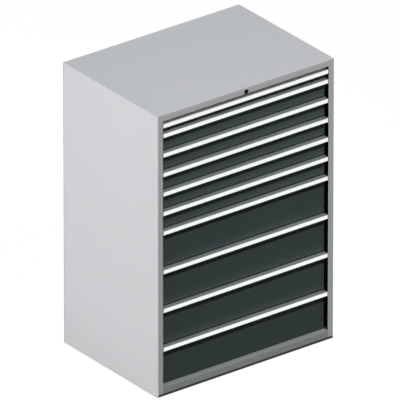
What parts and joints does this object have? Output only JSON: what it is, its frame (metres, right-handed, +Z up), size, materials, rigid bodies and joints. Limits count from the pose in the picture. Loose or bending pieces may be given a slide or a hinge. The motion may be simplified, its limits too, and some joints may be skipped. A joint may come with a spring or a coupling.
{
  "type": "drawer cabinet",
  "caption": "Free-standing steel cabinet with a stack of full-extension drawers, full-width handle bars and one central lock; shallow drawers above, deep drawers below.",
  "frame": {"origin": "middle of the base at floor level, the middle of the bounding box in X and Y", "axes": "+Z up, +X to the right seen from the front, -Y out of the front, the way the drawers open"},
  "size_m": [1.023, 0.7282, 1.45],
  "materials": {
    "housing_paint": "fine-textured light grey powder coat",
    "front_paint": "satin anthracite powder coat",
    "tray_paint": "light grey powder coat",
    "handle_aluminium": "clear anodised, drawn profile",
    "zinc_steel": "bright zinc plated",
    "black_paint": "black coated",
    "lock_black": "black coated die casting"
  },
  "bodies": {
    "cabinet": {"left_side_panel": "housing_paint", "right_side_panel": "housing_paint", "rear_panel": "housing_paint", "rear_panel_rivets": "zinc_steel", "top_panel": "housing_paint", "floor_panel": "housing_paint", "top_fascia": "housing_paint", "bottom_sill": "housing_paint", "kick_plate": "black_paint", "rear_base_rail": "black_paint", "anchor_brackets": "zinc_steel", "front_uprights": "zinc_steel", "rear_uprights": "zinc_steel", "left_cabinet_runners": "zinc_steel", "right_cabinet_runners": "zinc_steel", "lock_body": "lock_black", "lock_guides": "zinc_steel"},
    "drawer_1": {"tray_1": "tray_paint", "front_panel_1": "front_paint", "handle_1": "handle_aluminium"},
    "middle_1": {"middle_runners_1": "zinc_steel"},
    "drawer_2": {"tray_2": "tray_paint", "front_panel_2": "front_paint", "handle_2": "handle_aluminium"},
    "middle_2": {"middle_runners_2": "zinc_steel"},
    "drawer_3": {"tray_3": "tray_paint", "front_panel_3": "front_paint", "handle_3": "handle_aluminium"},
    "middle_3": {"middle_runners_3": "zinc_steel"},
    "drawer_4": {"tray_4": "tray_paint", "front_panel_4": "front_paint", "handle_4": "handle_aluminium"},
    "middle_4": {"middle_runners_4": "zinc_steel"},
    "drawer_5": {"tray_5": "tray_paint", "front_panel_5": "front_paint", "handle_5": "handle_aluminium"},
    "middle_5": {"middle_runners_5": "zinc_steel"},
    "drawer_6": {"tray_6": "tray_paint", "front_panel_6": "front_paint", "handle_6": "handle_aluminium"},
    "middle_6": {"middle_runners_6": "zinc_steel"},
    "drawer_7": {"tray_7": "tray_paint", "front_panel_7": "front_paint", "handle_7": "handle_aluminium"},
    "middle_7": {"middle_runners_7": "zinc_steel"},
    "drawer_8": {"tray_8": "tray_paint", "front_panel_8": "front_paint", "handle_8": "handle_aluminium"},
    "middle_8": {"middle_runners_8": "zinc_steel"},
    "drawer_9": {"tray_9": "tray_paint", "front_panel_9": "front_paint", "handle_9": "handle_aluminium"},
    "middle_9": {"middle_runners_9": "zinc_steel"},
    "drawer_10": {"tray_10": "tray_paint", "front_panel_10": "front_paint", "handle_10": "handle_aluminium"},
    "middle_10": {"middle_runners_10": "zinc_steel"},
    "lock_barrel": {"lock_barrel": "lock_black"},
    "lock_rod": {"lock_rod": "black_paint"},
    "lock_bar": {"lock_bar": "black_paint"}
  },
  "joints": [
    {"name": "drawer_slide_1", "type": "slide", "parent": "cabinet", "child": "drawer_1", "axis": [0, -1, 0], "range_m": [0, 0.612]},
    {"name": "middle_slide_1", "type": "slide", "parent": "cabinet", "child": "middle_1", "axis": [0, -1, 0], "range_m": [0, 0.306]},
    {"name": "drawer_slide_2", "type": "slide", "parent": "cabinet", "child": "drawer_2", "axis": [0, -1, 0], "range_m": [0, 0.612]},
    {"name": "middle_slide_2", "type": "slide", "parent": "cabinet", "child": "middle_2", "axis": [0, -1, 0], "range_m": [0, 0.306]},
    {"name": "drawer_slide_3", "type": "slide", "parent": "cabinet", "child": "drawer_3", "axis": [0, -1, 0], "range_m": [0, 0.612]},
    {"name": "middle_slide_3", "type": "slide", "parent": "cabinet", "child": "middle_3", "axis": [0, -1, 0], "range_m": [0, 0.306]},
    {"name": "drawer_slide_4", "type": "slide", "parent": "cabinet", "child": "drawer_4", "axis": [0, -1, 0], "range_m": [0, 0.612]},
    {"name": "middle_slide_4", "type": "slide", "parent": "cabinet", "child": "middle_4", "axis": [0, -1, 0], "range_m": [0, 0.306]},
    {"name": "drawer_slide_5", "type": "slide", "parent": "cabinet", "child": "drawer_5", "axis": [0, -1, 0], "range_m": [0, 0.612]},
    {"name": "middle_slide_5", "type": "slide", "parent": "cabinet", "child": "middle_5", "axis": [0, -1, 0], "range_m": [0, 0.306]},
    {"name": "drawer_slide_6", "type": "slide", "parent": "cabinet", "child": "drawer_6", "axis": [0, -1, 0], "range_m": [0, 0.612]},
    {"name": "middle_slide_6", "type": "slide", "parent": "cabinet", "child": "middle_6", "axis": [0, -1, 0], "range_m": [0, 0.306]},
    {"name": "drawer_slide_7", "type": "slide", "parent": "cabinet", "child": "drawer_7", "axis": [0, -1, 0], "range_m": [0, 0.612]},
    {"name": "middle_slide_7", "type": "slide", "parent": "cabinet", "child": "middle_7", "axis": [0, -1, 0], "range_m": [0, 0.306]},
    {"name": "drawer_slide_8", "type": "slide", "parent": "cabinet", "child": "drawer_8", "axis": [0, -1, 0], "range_m": [0, 0.612]},
    {"name": "middle_slide_8", "type": "slide", "parent": "cabinet", "child": "middle_8", "axis": [0, -1, 0], "range_m": [0, 0.306]},
    {"name": "drawer_slide_9", "type": "slide", "parent": "cabinet", "child": "drawer_9", "axis": [0, -1, 0], "range_m": [0, 0.612]},
    {"name": "middle_slide_9", "type": "slide", "parent": "cabinet", "child": "middle_9", "axis": [0, -1, 0], "range_m": [0, 0.306]},
    {"name": "drawer_slide_10", "type": "slide", "parent": "cabinet", "child": "drawer_10", "axis": [0, -1, 0], "range_m": [0, 0.612]},
    {"name": "middle_slide_10", "type": "slide", "parent": "cabinet", "child": "middle_10", "axis": [0, -1, 0], "range_m": [0, 0.306]},
    {"name": "lock_turn", "type": "hinge", "parent": "cabinet", "child": "lock_barrel", "pos_m": [0, -0.3621, 1.43], "axis": [0, 1, 0], "range_deg": [0, 90]},
    {"name": "lock_rod_slide", "type": "slide", "parent": "cabinet", "child": "lock_rod", "axis": [1, 0, 0], "range_m": [0, 0.01131]},
    {"name": "lock_bar_slide", "type": "slide", "parent": "cabinet", "child": "lock_bar", "axis": [0, 0, 1], "range_m": [0, 0.01131]}
  ],
  "couplings": [
    {"joint": "middle_slide_1", "follows": "drawer_slide_1", "ratio": 0.5},
    {"joint": "middle_slide_2", "follows": "drawer_slide_2", "ratio": 0.5},
    {"joint": "middle_slide_3", "follows": "drawer_slide_3", "ratio": 0.5},
    {"joint": "middle_slide_4", "follows": "drawer_slide_4", "ratio": 0.5},
    {"joint": "middle_slide_5", "follows": "drawer_slide_5", "ratio": 0.5},
    {"joint": "middle_slide_6", "follows": "drawer_slide_6", "ratio": 0.5},
    {"joint": "middle_slide_7", "follows": "drawer_slide_7", "ratio": 0.5},
    {"joint": "middle_slide_8", "follows": "drawer_slide_8", "ratio": 0.5},
    {"joint": "middle_slide_9", "follows": "drawer_slide_9", "ratio": 0.5},
    {"joint": "middle_slide_10", "follows": "drawer_slide_10", "ratio": 0.5},
    {"joint": "lock_rod_slide", "follows": "lock_bar_slide", "ratio": 1},
    {"joint": "lock_turn", "follows": "lock_bar_slide", "rad_per_m": 138.84}
  ]
}
